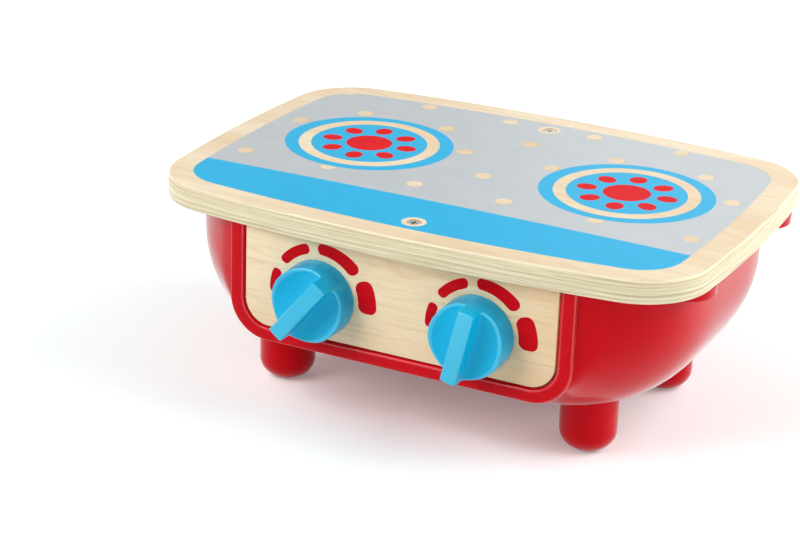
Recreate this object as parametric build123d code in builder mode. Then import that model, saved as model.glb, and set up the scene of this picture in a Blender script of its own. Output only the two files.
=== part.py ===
from build123d import *
import math
import os

os.makedirs("parts", exist_ok=True)

# Toy stove: a plywood hob board on a bulging plastic tub with a wooden control panel,
# two turning knobs and four round feet. Millimetres, +Z up, front towards -Y.
# The origin is on the floor, midway between the board's back edge and the knobs' front faces.

# Hob board
board_width = 300.0
board_depth = 216.0
board_thickness = 12.0
board_corner_radius = 38.0
board_side_bow = 5.1
board_front_bow = 10.7
board_arris = 0.8
total_height = 113.4

# Tub, measured at its ends and by how much it swells between them
tub_half_depth = 99.0
rim_half_width = 94.4
rim_floor_z = 39.5
rim_corner = 21.5
side_bulge = 44.1
side_power = 4.0
floor_bulge = 17.8
floor_power = 3.2
corner_growth = 33.5
corner_power = 12.0
tub_steps = 10
end_share = 0.985
hollow_steps = 8
back_rounding = 5.0
wall = 3.2
front_wall = 3.0
flange_thickness = 2.4
flange_rounding = 0.8
lug_radius = 15.3
lug_thickness = 5.6
lug_x = 133.0
lug_y = 57.0
tower_radius = 6.5
tower_pilot_depth = 22.0
hob_screw_setback = 15.0

# Control panel
panel_half_width = 86.0
panel_bottom_z = 47.2
panel_thickness = 8.0
panel_corner_radius = 14.0
panel_stands_proud = 1.7
panel_gap = 0.4
panel_arris = 0.8
panel_head_gap = 0.2
panel_screw_pitch_x = 148.0
panel_screw_pitch_z = 32.0

# Feet
foot_radius = 14.8
foot_height = 24.0
foot_rounding = 10.5
front_foot_x = 86.65
front_foot_y = -53.0
rear_foot_x = 93.1
rear_foot_y = 38.0
foot_seat_radius = 6.5
foot_seat_z = 31.0

# Knobs and their spindles
knob_x = 43.6
knob_z = 69.6
knob_radius = 20.0
knob_height = 22.8
knob_draft = 1.5
rim_height = 14.2
scoop_root_height = 13.6
scoop_height = 12.4
grip_width = 8.3
grip_rounding = 0.9
knob_skirt = 2.6
knob_crown_height = 7.5
hub_radius = 5.5
knob_gap = 0.3
left_knob_turn = 39.0
right_knob_turn = 12.5
spindle_radius = 2.5
spindle_front_height = 17.0
running_clearance = 0.05
bush_radius = 6.0
bush_flange_radius = 9.0
bush_flange = 1.2
washer_radius = 7.0
washer_thickness = 1.0
wheel_radius = 12.0
wheel_thickness = 5.0
wheel_hollows = 12
hollow_radius = 1.6
hollow_centre = 12.5

# Click arms
nose_radius = 1.2
nose_gap = 0.35
arm_thickness = 1.3
arm_drop = 15.9
arm_reach = 3.0
arm_block_width = 10.0
arm_block_height = 8.0
arm_block_depth = 7.0
arm_block_offset = 17.0

# Screws: shank, head and cross recess
shank_radius = 1.75
head_radius = 3.6
head_height = 2.4
cross_length = 4.2
cross_width = 0.9
cross_depth = 1.2
screw_fit = 0.05
screw_clearance = 0.25
countersink_gap = 0.25
head_below_surface = 0.5
pilot_share = 0.6
pilot_end_wall = 0.5
screw_tip_gap = 1.0
spindle_screw_shank = 1.2
spindle_screw_length = 8.0

# Places worked out from the sizes above. Points seen from above are measured from the board's centre.
panel_front_offset = board_depth / 2 - tub_half_depth - panel_stands_proud
knob_reach = knob_height - panel_front_offset
board_y = (knob_reach + board_depth) / 2 - board_depth / 2
board_bottom_z = total_height - board_thickness
tub_front_y = board_y - tub_half_depth
panel_front_y = tub_front_y - panel_stands_proud
panel_back_y = panel_front_y + panel_thickness
inner_front_y = panel_back_y + front_wall
tub_back_y = board_y + tub_half_depth * end_share
inner_back_y = tub_back_y - wall
lug_screw_x = lug_x + lug_radius / 2
foot_places = {
    "front_left_foot": (-front_foot_x, front_foot_y),
    "front_right_foot": (front_foot_x, front_foot_y),
    "rear_left_foot": (-rear_foot_x, rear_foot_y),
    "rear_right_foot": (rear_foot_x, rear_foot_y),
}
foot_points = list(foot_places.values())
hob_screw_offset = tub_half_depth - hob_screw_setback
hob_screw_points = [(0, -hob_screw_offset), (0, hob_screw_offset)]
lug_points = [(sx * lug_x, sy * lug_y) for sx in (-1, 1) for sy in (-1, 1)]
lug_screw_points = [(sx * lug_screw_x, sy * lug_y) for sx in (-1, 1) for sy in (-1, 1)]
knob_points = [(-knob_x, knob_z), (knob_x, knob_z)]
panel_screw_z = (panel_bottom_z + board_bottom_z) / 2
arm_block_points = [(x - arm_block_offset, knob_z - arm_drop) for x, z in knob_points]
hob_head_z = total_height - head_below_surface - head_height
lug_pilot_depth = board_thickness * pilot_share
panel_pilot_depth = panel_thickness * pilot_share
foot_pilot_depth = foot_height * pilot_share
washer_back_y = inner_front_y + washer_thickness
wheel_front_y = washer_back_y + knob_gap
wheel_back_y = wheel_front_y + wheel_thickness


def level(z):
    """Horizontal sketch plane at z, centred on the board."""
    return Plane(origin=(0, board_y, z))


def facing_front(y):
    """Sketch plane at y: local x is X, local y is Z, and its normal points to the front."""
    return Plane.XZ.offset(-y)


def swell(y, power):
    return 1 - abs((y - board_y) / tub_half_depth) ** power


def tub_outline(y, inset, top_z):
    """U-shaped cross-section of the tub at y, drawn inset from its outside."""
    half = rim_half_width + side_bulge * swell(y, side_power) - inset
    floor = rim_floor_z - floor_bulge * swell(y, floor_power) + inset
    corner = rim_corner + corner_growth * swell(y, corner_power) - inset
    with BuildLine(Plane.XY) as outline:
        FilletPolyline((-half, top_z), (-half, floor), (half, floor), (half, top_z), radius=corner)
        Line((half, top_z), (-half, top_z))
    return outline.edges()


def panel_outline(half_width, bottom_z, top_z, corner):
    """Upright plate with square top corners and rounded bottom corners."""
    with BuildLine(Plane.XY) as outline:
        FilletPolyline((-half_width, top_z), (-half_width, bottom_z), (half_width, bottom_z),
                       (half_width, top_z), radius=corner)
        Line((half_width, top_z), (-half_width, top_z))
    return outline.edges()


def board_outline():
    """Four bowed sides that meet in plain corners."""
    corner_x = board_width / 2 - board_side_bow
    corner_y = board_depth / 2 - board_front_bow
    with BuildLine(Plane.XY) as outline:
        ThreePointArc((-corner_x, -corner_y), (0, -board_depth / 2), (corner_x, -corner_y))
        ThreePointArc((corner_x, -corner_y), (board_width / 2, 0), (corner_x, corner_y))
        ThreePointArc((corner_x, corner_y), (0, board_depth / 2), (-corner_x, corner_y))
        ThreePointArc((-corner_x, corner_y), (-board_width / 2, 0), (-corner_x, -corner_y))
    return outline.edges()


def make_screw(plane, length, shank):
    """Cross-head screw: its head stands on the plane and its shank goes down through it."""
    with BuildPart(mode=Mode.PRIVATE) as screw:
        with BuildSketch(plane):
            Circle(head_radius)
        extrude(amount=head_height)
        along = Axis(plane.origin, plane.z_dir)
        fillet(screw.edges().filter_by(GeomType.CIRCLE).sort_by(along)[-1], head_height / 3)
        with BuildSketch(plane):
            Circle(shank)
        extrude(amount=-length)
        chamfer(screw.edges().filter_by(GeomType.CIRCLE).sort_by(along)[0], shank / 2)
        with BuildSketch(plane.offset(head_height)):
            Rectangle(cross_length, cross_width)
            Rectangle(cross_width, cross_length)
        extrude(amount=-cross_depth, mode=Mode.SUBTRACT)
    return screw.part


# Hob board: plywood sheet with counterbored holes for the two top screws
with BuildPart() as hob_top:
    with BuildSketch(level(board_bottom_z)) as board_sketch:
        make_face(board_outline())
        fillet(board_sketch.vertices(), board_corner_radius)
    extrude(amount=board_thickness)
    fillet(hob_top.faces().sort_by(Axis.Z)[-1].edges() + hob_top.faces().sort_by(Axis.Z)[0].edges(),
           board_arris)
    with BuildSketch(level(total_height)):
        with Locations(*hob_screw_points):
            Circle(head_radius + countersink_gap)
    extrude(amount=hob_head_z - total_height, mode=Mode.SUBTRACT)
    with BuildSketch(level(total_height)):
        with Locations(*hob_screw_points):
            Circle(shank_radius + screw_clearance)
    extrude(amount=-board_thickness, mode=Mode.SUBTRACT)
    with BuildSketch(level(board_bottom_z)):
        with Locations(*lug_screw_points):
            Circle(shank_radius + screw_fit)
    extrude(amount=lug_pilot_depth, mode=Mode.SUBTRACT)
hob_top.part.label = "hob_top"
export_step(hob_top.part, "parts/hob_top.step")

# The tub's outside and its hollow, as two solids that the body shell is made from
with BuildPart() as tub_outside:
    for step in range(tub_steps + 1):
        y = board_y - tub_half_depth * end_share * math.cos(math.pi * step / tub_steps)
        with BuildSketch(facing_front(y)):
            make_face(tub_outline(y, 0, board_bottom_z))
    loft()
    back_edges = tub_outside.faces().sort_by(Axis.Y)[-1].edges().sort_by(Axis.Z)[:-1]
    fillet(back_edges, back_rounding)

with BuildPart() as tub_hollow:
    for step in range(hollow_steps + 1):
        y = inner_front_y + (inner_back_y - inner_front_y) * step / hollow_steps
        with BuildSketch(facing_front(y)):
            make_face(tub_outline(y, wall, board_bottom_z + wall))
    loft()

# Body shell: the tub with a front flange round the panel, lugs, foot bosses and screw towers
with BuildPart() as body_shell:
    add(tub_outside.part)
    with BuildSketch(facing_front(tub_front_y + flange_thickness)):
        make_face(panel_outline(rim_half_width, rim_floor_z, board_bottom_z, rim_corner))
    extrude(amount=flange_thickness)
    flange_edges = body_shell.faces().sort_by(Axis.Y)[0].edges().sort_by(Axis.Z)[:-1]
    fillet(flange_edges, flange_rounding)
    with BuildSketch(level(board_bottom_z)):
        with Locations(*lug_points):
            Circle(lug_radius)
    extrude(amount=-lug_thickness)
    with BuildSketch(level(foot_height)):
        with Locations(*foot_points):
            Circle(foot_radius)
    extrude(amount=foot_radius)
    add(tub_hollow.part, mode=Mode.SUBTRACT)
    with BuildSketch(level(foot_height)):
        with Locations(*foot_points):
            Circle(foot_seat_radius)
    extrude(amount=foot_seat_z - foot_height)
    with BuildSketch(level(board_bottom_z)):
        with Locations(*hob_screw_points):
            Circle(tower_radius)
    extrude(until=Until.NEXT, dir=(0, 0, -1))
    with BuildSketch(facing_front(panel_back_y)):
        make_face(panel_outline(panel_half_width + panel_gap, panel_bottom_z - panel_gap,
                                board_bottom_z, panel_corner_radius + panel_gap))
    extrude(amount=panel_thickness, mode=Mode.SUBTRACT)
    with BuildSketch(facing_front(inner_front_y)):
        with Locations(*knob_points):
            Circle(bush_radius + screw_fit)
        with Locations((0, panel_screw_z)):
            with GridLocations(panel_screw_pitch_x, panel_screw_pitch_z, 2, 2):
                Circle(shank_radius + screw_clearance)
    extrude(amount=front_wall, mode=Mode.SUBTRACT)
    with BuildSketch(facing_front(inner_front_y)):
        with Locations(*arm_block_points):
            Circle(shank_radius + screw_fit)
    extrude(amount=front_wall - pilot_end_wall, mode=Mode.SUBTRACT)
    with BuildSketch(level(foot_seat_z)):
        with Locations(*foot_points):
            Circle(shank_radius + screw_clearance)
    extrude(amount=-2 * (foot_seat_z - foot_height), mode=Mode.SUBTRACT)
    with BuildSketch(level(board_bottom_z)):
        with Locations(*hob_screw_points):
            Circle(shank_radius + screw_fit)
    extrude(amount=-tower_pilot_depth, mode=Mode.SUBTRACT)
    with BuildSketch(level(board_bottom_z)):
        with Locations(*lug_screw_points):
            Circle(shank_radius + screw_clearance)
    extrude(amount=-lug_thickness, mode=Mode.SUBTRACT)
body_shell.part.label = "body_shell"
export_step(body_shell.part, "parts/body_shell.step")

# Control panel
with BuildPart() as front_panel:
    with BuildSketch(facing_front(panel_back_y)):
        make_face(panel_outline(panel_half_width, panel_bottom_z, board_bottom_z - panel_head_gap,
                                panel_corner_radius))
    extrude(amount=panel_thickness)
    fillet(front_panel.faces().sort_by(Axis.Y)[0].edges(), panel_arris)
    with BuildSketch(facing_front(panel_front_y)):
        with Locations(*knob_points):
            Circle(bush_radius)
    extrude(amount=-panel_thickness, mode=Mode.SUBTRACT)
    with BuildSketch(facing_front(panel_back_y)):
        with Locations((0, panel_screw_z)):
            with GridLocations(panel_screw_pitch_x, panel_screw_pitch_z, 2, 2):
                Circle(shank_radius + screw_fit)
    extrude(amount=panel_pilot_depth, mode=Mode.SUBTRACT)
front_panel.part.label = "front_panel"
export_step(front_panel.part, "parts/front_panel.step")

# Feet: round pegs with rounded undersides, hollowed on top where the tub's belly sits in them
for name, (x, y) in foot_places.items():
    with BuildPart() as foot:
        with BuildSketch(level(0)):
            with Locations((x, y)):
                Circle(foot_radius)
        extrude(amount=foot_height)
        fillet(foot.faces().sort_by(Axis.Z)[0].edges(), foot_rounding)
        add(tub_outside.part, mode=Mode.SUBTRACT)
        with BuildSketch(level(foot_height)):
            with Locations((x, y)):
                Circle(shank_radius + screw_fit)
        extrude(amount=-foot_pilot_depth, mode=Mode.SUBTRACT)
    foot.part.label = name
    export_step(foot.part, f"parts/{name}.step")

# Knobs: a round skirt with two scoops that leave a straight grip across the middle
for side, x, turn in (("left", -knob_x, left_knob_turn), ("right", knob_x, right_knob_turn)):
    knob_face = Plane(origin=(x, panel_front_y, knob_z), x_dir=(1, 0, 0), z_dir=(0, -1, 0))
    grip = Plane(origin=(x, panel_front_y, knob_z),
                 x_dir=(math.cos(math.radians(turn)), 0, -math.sin(math.radians(turn))),
                 z_dir=(math.sin(math.radians(turn)), 0, math.cos(math.radians(turn))))
    with BuildPart() as knob:
        with BuildSketch(knob_face.offset(knob_gap)):
            Circle(knob_radius)
        extrude(amount=knob_height - knob_gap, taper=knob_draft)
        with BuildSketch(grip):
            with BuildLine():
                Line((grip_width / 2, -knob_height), (grip_width / 2, -scoop_root_height))
                ThreePointArc((grip_width / 2, -scoop_root_height), (knob_radius / 2, -scoop_height),
                              (knob_radius, -rim_height))
                Line((knob_radius, -rim_height), (knob_radius, -knob_height))
                Line((knob_radius, -knob_height), (grip_width / 2, -knob_height))
            make_face()
            mirror(about=Plane.YZ)
        extrude(amount=knob_radius, both=True, mode=Mode.SUBTRACT)
        fillet(knob.faces().sort_by(Axis.Y)[0].edges(), grip_rounding)
        with BuildSketch(knob_face.offset(knob_gap)):
            Circle(knob_radius - knob_skirt)
        extrude(amount=knob_crown_height - knob_gap, mode=Mode.SUBTRACT)
        hub_start = bush_flange + knob_gap
        with BuildSketch(knob_face.offset(hub_start)):
            Circle(hub_radius)
        extrude(amount=knob_crown_height - hub_start + knob_gap)
        with BuildSketch(knob_face):
            Circle(spindle_radius)
        extrude(amount=spindle_front_height, mode=Mode.SUBTRACT)
    knob.part.label = f"{side}_knob"
    export_step(knob.part, f"parts/{side}_knob.step")

    spindle_length = spindle_front_height + wheel_back_y - panel_front_y
    with BuildPart() as spindle:
        with BuildSketch(knob_face.offset(panel_front_y - wheel_back_y)):
            Circle(spindle_radius)
        extrude(amount=spindle_length)
        with BuildSketch(knob_face.offset(panel_front_y - wheel_back_y)):
            Circle(spindle_screw_shank + screw_fit)
        extrude(amount=spindle_screw_length + screw_tip_gap, mode=Mode.SUBTRACT)
    spindle.part.label = f"{side}_spindle"
    export_step(spindle.part, f"parts/{side}_spindle.step")

    with BuildPart() as bush:
        with BuildSketch(knob_face):
            Circle(bush_flange_radius)
        extrude(amount=bush_flange)
        with BuildSketch(knob_face):
            Circle(bush_radius)
        extrude(amount=-(panel_thickness + front_wall))
        with BuildSketch(knob_face.offset(bush_flange)):
            Circle(spindle_radius + running_clearance)
        extrude(amount=-(panel_thickness + front_wall + bush_flange), mode=Mode.SUBTRACT)
    bush.part.label = f"{side}_bush"
    export_step(bush.part, f"parts/{side}_bush.step")

    with BuildPart() as washer:
        with BuildSketch(knob_face.offset(panel_front_y - washer_back_y)):
            Circle(washer_radius)
            Circle(spindle_radius + screw_clearance, mode=Mode.SUBTRACT)
        extrude(amount=washer_thickness)
    washer.part.label = f"{side}_washer"
    export_step(washer.part, f"parts/{side}_washer.step")

    with BuildPart() as click_wheel:
        with BuildSketch(knob_face.offset(panel_front_y - wheel_back_y)):
            Circle(wheel_radius)
            with PolarLocations(hollow_centre, wheel_hollows):
                Circle(hollow_radius, mode=Mode.SUBTRACT)
            Circle(spindle_radius, mode=Mode.SUBTRACT)
        extrude(amount=wheel_thickness)
    click_wheel.part.label = f"{side}_click_wheel"
    export_step(click_wheel.part, f"parts/{side}_click_wheel.step")

    nose_top_z = knob_z - hollow_centre + hollow_radius - nose_gap
    arm_z = knob_z - arm_drop
    with BuildPart() as click_arm:
        with BuildSketch(facing_front(wheel_back_y)):
            with Locations(((x - arm_block_offset + x + arm_reach) / 2, arm_z)):
                Rectangle(arm_block_offset + arm_reach, arm_thickness)
            with Locations((x, (arm_z + nose_top_z - nose_radius) / 2)):
                Rectangle(2 * nose_radius, nose_top_z - nose_radius - arm_z)
            with Locations((x, nose_top_z - nose_radius)):
                Circle(nose_radius)
        extrude(amount=wheel_thickness)
        with BuildSketch(facing_front(inner_front_y + arm_block_depth)):
            with Locations((x - arm_block_offset, arm_z)):
                Rectangle(arm_block_width, arm_block_height)
        extrude(amount=arm_block_depth)
        with BuildSketch(facing_front(inner_front_y + arm_block_depth)):
            with Locations((x - arm_block_offset, arm_z)):
                Circle(shank_radius + screw_clearance)
        extrude(amount=arm_block_depth, mode=Mode.SUBTRACT)
    click_arm.part.label = f"{side}_click_arm"
    export_step(click_arm.part, f"parts/{side}_click_arm.step")

    spindle_screw = make_screw(Plane(origin=(x, wheel_back_y, knob_z), z_dir=(0, 1, 0)),
                               spindle_screw_length, spindle_screw_shank)
    spindle_screw.label = f"{side}_spindle_screw"
    export_step(spindle_screw, f"parts/{side}_spindle_screw.step")


def screw_group(name, places, direction, length):
    """Identical screws as one sub-part: places are the points under their heads."""
    with BuildPart() as group:
        for place in places:
            add(make_screw(Plane(origin=place, z_dir=direction), length, shank_radius))
    group.part.label = name
    export_step(group.part, f"parts/{name}.step")


hob_screw_length = hob_head_z - board_bottom_z + tower_pilot_depth - screw_tip_gap
lug_screw_length = lug_thickness + lug_pilot_depth - screw_tip_gap
foot_screw_length = foot_seat_z - foot_height + foot_pilot_depth - screw_tip_gap
panel_screw_length = front_wall + panel_pilot_depth - screw_tip_gap
arm_screw_length = arm_block_depth + front_wall - screw_tip_gap
panel_screw_x = panel_screw_pitch_x / 2
panel_screw_points = [(sx * panel_screw_x, inner_front_y, panel_screw_z + sz * panel_screw_pitch_z / 2)
                      for sx in (-1, 1) for sz in (-1, 1)]
screw_group("hob_screws", [(x, board_y + y, hob_head_z) for x, y in hob_screw_points],
            (0, 0, 1), hob_screw_length)
screw_group("lug_screws", [(x, board_y + y, board_bottom_z - lug_thickness) for x, y in lug_screw_points],
            (0, 0, -1), lug_screw_length)
screw_group("foot_screws", [(x, board_y + y, foot_seat_z) for x, y in foot_points],
            (0, 0, 1), foot_screw_length)
screw_group("panel_screws", panel_screw_points, (0, 1, 0), panel_screw_length)
screw_group("click_arm_screws", [(x, inner_front_y + arm_block_depth, z) for x, z in arm_block_points],
            (0, 1, 0), arm_screw_length)
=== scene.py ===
from math import acos, asin, atan2, cos, pi, radians, sin, sqrt, tan
import bmesh
import bpy
from mathutils import Matrix, Vector


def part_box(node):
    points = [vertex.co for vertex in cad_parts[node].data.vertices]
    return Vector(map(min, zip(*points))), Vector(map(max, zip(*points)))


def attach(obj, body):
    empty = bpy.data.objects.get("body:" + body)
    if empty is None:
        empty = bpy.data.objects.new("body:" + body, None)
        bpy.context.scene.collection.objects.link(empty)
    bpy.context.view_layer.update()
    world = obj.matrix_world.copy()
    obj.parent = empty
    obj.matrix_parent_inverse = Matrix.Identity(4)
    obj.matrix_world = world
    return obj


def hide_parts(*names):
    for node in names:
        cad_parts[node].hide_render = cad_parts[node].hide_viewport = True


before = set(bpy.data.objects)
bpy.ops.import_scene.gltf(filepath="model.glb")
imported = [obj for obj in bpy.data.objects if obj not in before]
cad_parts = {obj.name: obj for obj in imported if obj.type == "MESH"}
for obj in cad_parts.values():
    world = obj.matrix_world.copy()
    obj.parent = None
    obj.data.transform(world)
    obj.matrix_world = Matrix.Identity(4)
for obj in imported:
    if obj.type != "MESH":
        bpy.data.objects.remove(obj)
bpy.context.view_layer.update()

print("frame loaded:", len(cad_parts), "nodes")

# places taken from the frame
boardLow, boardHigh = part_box("hob_top")
panelLow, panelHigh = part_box("front_panel")
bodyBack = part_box("body_shell")[1][1]  # the body's rear face
centreY = (boardLow[1] + boardHigh[1]) / 2  # the board's middle, front to back
topZ = boardHigh[2]
undersideZ = boardLow[2]

footNodes = ("front_left_foot", "front_right_foot", "rear_left_foot", "rear_right_foot")
tiny = 1e-6  # heights or points closer than this are the same
white = (1.0, 1.0, 1.0, 1.0)


def middleOf(node):
    low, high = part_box(node)
    return Vector([(a + b) / 2 for a, b in zip(low, high)])


def addObject(name, data):
    added = bpy.data.objects.new(name, data)
    bpy.context.scene.collection.objects.link(added)
    return added


def addMesh(name, bm):
    mesh = bpy.data.meshes.new(name)
    bm.to_mesh(mesh)
    bm.free()
    return addObject(name, mesh)


# shader helpers
def newMaterial(name):
    material = bpy.data.materials.new(name)
    material.use_nodes = True
    tree = material.node_tree
    tree.nodes.clear()
    output = tree.nodes.new("ShaderNodeOutputMaterial")
    shader = tree.nodes.new("ShaderNodeBsdfPrincipled")
    tree.links.new(shader.outputs[0], output.inputs[0])
    return material, tree, shader


def plug(tree, socket, value):
    # a node's output is linked, anything else is set on the socket
    if isinstance(value, bpy.types.NodeSocket):
        tree.links.new(value, socket)
    else:
        socket.default_value = value


def objectPoint(tree, scale=(1, 1, 1)):
    # Object coordinates through a Mapping node
    coordinates = tree.nodes.new("ShaderNodeTexCoord")
    mapping = tree.nodes.new("ShaderNodeMapping")
    tree.links.new(coordinates.outputs["Object"], mapping.inputs["Vector"])
    mapping.inputs["Scale"].default_value = scale
    return mapping.outputs["Vector"]


def objectAxes(tree):
    # the Object coordinates' X, Y and Z, each by itself
    split = tree.nodes.new("ShaderNodeSeparateXYZ")
    tree.links.new(objectPoint(tree), split.inputs[0])
    return split.outputs


def noise(tree, scale, detail, roughness=0.5, distortion=0.0):
    node = tree.nodes.new("ShaderNodeTexNoise")
    tree.links.new(objectPoint(tree, scale), node.inputs["Vector"])
    node.inputs["Scale"].default_value = 1.0
    node.inputs["Detail"].default_value = detail
    node.inputs["Roughness"].default_value = roughness
    node.inputs["Distortion"].default_value = distortion
    return node.outputs["Fac"]


def calc(tree, operation, a, b=0.0, c=0.0):
    node = tree.nodes.new("ShaderNodeMath")
    node.operation = operation
    for socket, value in zip(node.inputs, (a, b, c)):
        plug(tree, socket, value)
    return node.outputs[0]


def stretch(tree, value, low, high, toLow=0.0, toHigh=1.0):
    # maps low..high to toLow..toHigh, smoothly and clamped
    node = tree.nodes.new("ShaderNodeMapRange")
    node.interpolation_type = "SMOOTHSTEP"
    plug(tree, node.inputs["Value"], value)
    ends = {"From Min": low, "From Max": high, "To Min": toLow, "To Max": toHigh}
    for key, number in ends.items():
        node.inputs[key].default_value = number
    return node.outputs["Result"]


def blendColour(tree, amount, a, b):
    node = tree.nodes.new("ShaderNodeMix")
    node.data_type = "RGBA"
    plug(tree, node.inputs[0], amount)
    plug(tree, node.inputs[6], a)
    plug(tree, node.inputs[7], b)
    return node.outputs[2]


def bump(tree, shader, height, distance):
    node = tree.nodes.new("ShaderNodeBump")
    node.inputs["Distance"].default_value = distance
    node.inputs["Strength"].default_value = 1.0
    tree.links.new(height, node.inputs["Height"])
    tree.links.new(node.outputs["Normal"], shader.inputs["Normal"])


def linear(red, green, blue):
    # a screen colour, 0 to 255, as the shader wants it
    def channel(v):
        v = v / 255
        return v / 12.92 if v <= 0.04045 else ((v + 0.055) / 1.055) ** 2.4
    return (channel(red), channel(green), channel(blue), 1.0)


def shaded(colour, factor):
    return [min(1.0, c * factor) for c in colour[:3]] + [1.0]


# birch; a noise is its scale, detail, roughness and distortion, a range the values it runs between
woodLook = dict(
    pale=linear(229, 212, 182),
    warm=linear(218, 193, 155),
    streak=linear(204, 175, 134),
    fleck=linear(176, 140, 98),
    driftNoise=((6, 26, 26), 3.0, 0.55, 0.6),
    streakNoise=((14, 420, 420), 4.0, 0.62, 0.25),
    figureNoise=((22, 90, 90), 3.0, 0.5, 1.4),
    fleckNoise=((210, 1500, 1500), 1.0, 0.4),
    driftRange=(0.32, 0.68),
    streakRange=(0.5, 0.74),
    figureRange=(0.52, 0.7),
    fleckRange=(0.7, 0.78),
    streakAmount=0.55,
    figureAmount=0.32,
    fleckAmount=0.3,
    fleckPit=0.6,
    grainRange=(0.2, 0.8),
    roughness=(0.5, 0.37),  # where the grain is low, where it is high
    ior=1.35,
    coat=0.04,
    coatRoughness=0.3,
    grainDepth=0.00004,
)
# painted light: the front panel's birch is a paler copy, standing in for light its front face
# lacks; its fewer flecks are its own grain
panelWoodPaintedLightLook = dict(woodLook, pale=linear(249, 229, 193), warm=linear(238, 208, 165),
                     streak=linear(221, 186, 140), fleckAmount=0.2)


def birchColour(tree, look):
    # long grain along X: slow tone drift, fine streaks, a broader figure and short dark flecks
    drift, streaks, figure, flecks = [noise(tree, *look[kind + "Noise"])
                                      for kind in ("drift", "streak", "figure", "fleck")]
    tone = blendColour(tree, stretch(tree, drift, *look["driftRange"]), look["pale"], look["warm"])
    for pattern, kind, colour in ((streaks, "streak", "streak"), (figure, "figure", "streak"),
                                  (flecks, "fleck", "fleck")):
        amount = stretch(tree, pattern, *look[kind + "Range"], 0.0, look[kind + "Amount"])
        tone = blendColour(tree, amount, tone, look[colour])
    pits = stretch(tree, flecks, *look["fleckRange"], 0.0, look["fleckPit"])
    return tone, calc(tree, "SUBTRACT", streaks, pits)


def makeBirch(name, look):
    material, tree, shader = newMaterial(name)
    tone, height = birchColour(tree, look)
    plug(tree, shader.inputs["Base Color"], tone)
    plug(tree, shader.inputs["Roughness"],
         stretch(tree, height, *look["grainRange"], *look["roughness"]))
    shader.inputs["IOR"].default_value = look["ior"]
    shader.inputs["Coat Weight"].default_value = look["coat"]
    shader.inputs["Coat Roughness"].default_value = look["coatRoughness"]
    bump(tree, shader, height, look["grainDepth"])
    return material


# plywood's cut edge
plyLook = dict(
    layers=(  # share of the thickness from the underside, colour
        (0.00, linear(239, 229, 197)),
        (0.09, linear(239, 229, 197)),
        (0.12, linear(217, 204, 162)),
        (0.19, linear(221, 210, 170)),
        (0.22, linear(240, 232, 202)),
        (0.28, linear(239, 230, 199)),
        (0.31, linear(214, 202, 161)),
        (0.39, linear(220, 210, 171)),
        (0.42, linear(239, 231, 201)),
        (0.49, linear(237, 227, 195)),
        (0.53, linear(217, 206, 165)),
        (0.62, linear(226, 216, 176)),
        (0.66, linear(231, 220, 186)),
        (0.71, linear(221, 210, 169)),
        (0.82, linear(228, 217, 177)),
        (0.875, linear(208, 192, 150)),
        (0.90, linear(226, 211, 172)),
        (0.93, linear(242, 229, 197)),
    ),
    streakPale=linear(240, 231, 201),
    streakDark=linear(183, 168, 125),
    waverNoise=((14, 14, 60), 3.0),
    waver=0.0006,
    smearNoise=((9, 9, 1000), 3.0, 0.6),
    smearRange=(0.48, 0.62, 0.0, 0.85),  # from the noise value to the amount
    fibreNoise=((20, 20, 1500), 3.0, 0.65),
    fibreRange=(0.5, 0.62, 0.0, 0.62),
    roughness=(0.3, 0.7, 0.36, 0.48),  # from the fibre noise to the roughness
    ior=1.55,
    streakDepth=0.00003,
)


def makePlyEdge(name, look, lowZ, highZ):
    # pale and darker plies of uneven strength, broken by streaks along the edge
    material, tree, shader = newMaterial(name)
    waver = calc(tree, "SUBTRACT", noise(tree, *look["waverNoise"]), 0.5)
    z = calc(tree, "MULTIPLY_ADD", waver, look["waver"], objectAxes(tree)["Z"])
    share = calc(tree, "DIVIDE", calc(tree, "SUBTRACT", z, lowZ), highZ - lowZ)
    ramp = tree.nodes.new("ShaderNodeValToRGB")
    tree.links.new(share, ramp.inputs[0])
    stops = ramp.color_ramp.elements
    stops.remove(stops[1])
    stops[0].position, stops[0].color = look["layers"][0]
    for position, colour in look["layers"][1:]:
        stops.new(position).color = colour
    fibres = noise(tree, *look["fibreNoise"])
    smears = noise(tree, *look["smearNoise"])
    tone = blendColour(tree, stretch(tree, smears, *look["smearRange"]), ramp.outputs[0],
                       look["streakPale"])
    tone = blendColour(tree, stretch(tree, fibres, *look["fibreRange"]), tone, look["streakDark"])
    plug(tree, shader.inputs["Base Color"], tone)
    plug(tree, shader.inputs["Roughness"], stretch(tree, fibres, *look["roughness"]))
    shader.inputs["IOR"].default_value = look["ior"]
    bump(tree, shader, calc(tree, "SUBTRACT", smears, fibres), look["streakDepth"])
    return material


# printed inks
inkLook = dict(
    blue=linear(0, 169, 216),
    burnerRed=linear(214, 4, 20),
    arcRed=linear(206, 10, 26),
    redTint=(1.0, 0.15, 0.15, 1.0),
    silver=linear(179, 185, 188),
    silverMetal=0.2,
    mottleNoise=((60, 60, 60), 3.0, 0.5),
    mottleRange=(0.3, 0.7),
    mottleShades=(0.975, 1.02),
    woodThrough=(0.2, 0.75, 0.012, 0.0),  # from the grain's height to the share of wood
    roughness=(0.32, 0.34),
    ior=1.15,
    burnerIor=1.07,
    grainDepth=0.000006,
)

dotGrid = dict(
    radius=0.0044,
    pitchX=0.0502,
    pitchY=0.060,
    shiftX=0.0008,
    firstRow=-0.034,
    softness=0.00015,
    paintedShadeShift=0.0003,  # painted shade: a dark sliver at one side of each dot stands in for the shadow on the wall of a shallow recess
    # the colour of that painted shade
    edge=linear(168, 148, 118),
)


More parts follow.
